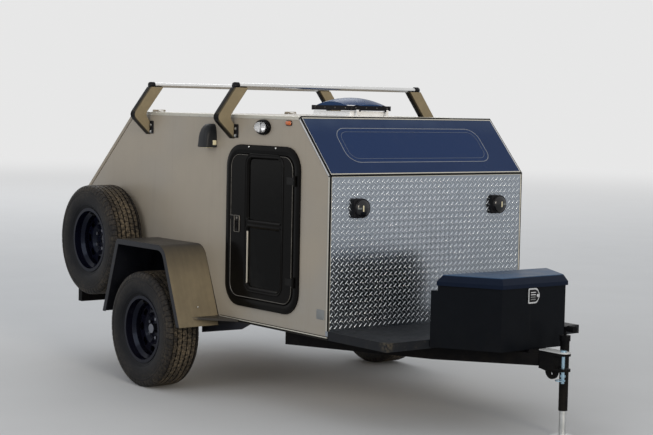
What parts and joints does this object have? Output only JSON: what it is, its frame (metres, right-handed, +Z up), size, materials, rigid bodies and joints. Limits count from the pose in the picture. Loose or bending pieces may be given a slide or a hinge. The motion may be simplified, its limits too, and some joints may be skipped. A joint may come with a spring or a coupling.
{
  "type": "teardrop trailer",
  "caption": "Small off-road teardrop camping trailer with a faceted cabin, side doors, rear hatch, roof rack, fenders, side-mounted spare wheel, front deck and tongue locker.",
  "frame": {"origin": "on the ground under the middle of the whole trailer's bounding box", "axes": "+X forward towards the coupler, +Y to the trailer's left, +Z up"},
  "size_m": [4.162, 2.146, 1.969],
  "materials": {
    "frame_paint": "satin black paint",
    "deck_paint": "textured dark blue-grey coating",
    "body_tan": "satin taupe paint",
    "body_navy": "gloss navy paint",
    "tread_plate": "bright tread plate",
    "board": "plain sealed board",
    "black_plastic": "gloss black",
    "door_black": "gloss black",
    "smoked_glass": "smoked glass",
    "white_plastic": "matte white",
    "dome_plastic": "smoked blue gloss",
    "tyre_rubber": "dusty rubber",
    "rim_paint": "gloss black",
    "hub_steel": "bare casting with plated nuts",
    "zinc": "zinc plated",
    "coupler_paint": "satin black",
    "bar_aluminium": "satin anodised",
    "arm_paint": "satin black",
    "fender_paint": "dark slate satin paint",
    "box_paint": "satin black",
    "latch_metal": "polished",
    "lamp_clear": "clear domed lens over a bright reflector",
    "lamp_red": "red lens"
  },
  "bodies": {
    "chassis": {"chassis_frame": "frame_paint", "tongue_frame": "frame_paint", "front_deck": "deck_paint", "coupler": "coupler_paint", "nose_plate": "zinc", "hitch_pin": "zinc", "rear_bumper": "frame_paint", "axle": "frame_paint", "spare_tyre": "tyre_rubber", "spare_rim": "rim_paint", "spare_carrier": "frame_paint", "floor": "board", "side_wall_right": "body_tan", "side_wall_left": "body_tan", "front_wall": "tread_plate", "front_slope": "body_navy", "front_window": "smoked_glass", "roof": "body_tan", "rear_wall": "tread_plate", "galley_bulkhead": "board", "door_frame_right": "door_black", "door_frame_left": "door_black", "vent_base": "white_plastic", "rack_arms": "arm_paint", "rack_bars": "bar_aluminium", "fender_right": "fender_paint", "fender_left": "fender_paint", "tongue_box": "box_paint", "box_latch": "latch_metal", "jack_bracket": "frame_paint", "porch_lamps": "lamp_clear", "wall_lamps": "black_plastic", "front_lamps": "black_plastic", "tail_lamps": "lamp_red"},
    "wheel_right": {"tyre_right": "tyre_rubber", "rim_right": "rim_paint", "hub_right": "hub_steel"},
    "wheel_left": {"tyre_left": "tyre_rubber", "rim_left": "rim_paint", "hub_left": "hub_steel"},
    "door_right": {"door_right": "door_black", "door_glass_right": "smoked_glass"},
    "door_left": {"door_left": "door_black", "door_glass_left": "smoked_glass"},
    "hatch": {"rear_hatch": "body_tan"},
    "vent": {"vent_lid": "black_plastic", "vent_dome": "dome_plastic"},
    "box_lid": {"box_lid": "box_paint"},
    "jack_tube": {"jack_tube": "frame_paint"},
    "jack_leg": {"jack_leg": "zinc"}
  },
  "joints": [
    {"name": "wheel_right_turn", "type": "hinge", "parent": "chassis", "child": "wheel_right", "pos_m": [-0.686, -0.953, 0.373], "axis": [0, 1, 0], "continuous": true},
    {"name": "wheel_left_turn", "type": "hinge", "parent": "chassis", "child": "wheel_left", "pos_m": [-0.686, 0.953, 0.373], "axis": [0, 1, 0], "continuous": true},
    {"name": "door_right_swing", "type": "hinge", "parent": "chassis", "child": "door_right", "pos_m": [0.588, -0.786, 1.0875], "axis": [0, 0, 1], "range_deg": [0, 100]},
    {"name": "door_left_swing", "type": "hinge", "parent": "chassis", "child": "door_left", "pos_m": [0.588, 0.786, 1.0875], "axis": [0, 0, -1], "range_deg": [0, 100]},
    {"name": "hatch_lift", "type": "hinge", "parent": "chassis", "child": "hatch", "pos_m": [-1.29685, 0, 1.7773], "axis": [0, 1, 0], "range_deg": [0, 70]},
    {"name": "vent_lift", "type": "hinge", "parent": "chassis", "child": "vent", "pos_m": [0.333, 0, 1.808], "axis": [0, 1, 0], "range_deg": [0, 60]},
    {"name": "box_lid_lift", "type": "hinge", "parent": "chassis", "child": "box_lid", "pos_m": [1.467, 0, 0.862], "axis": [0, -1, 0], "range_deg": [0, 80]},
    {"name": "jack_swing", "type": "hinge", "parent": "chassis", "child": "jack_tube", "pos_m": [1.90571, 0.14805, 0.405], "axis": [0.4068, 0.9135, 0], "range_deg": [0, 90]},
    {"name": "jack_leg_slide", "type": "slide", "parent": "jack_tube", "child": "jack_leg", "axis": [0, 0, 1], "range_m": [0, 0.13]}
  ]
}
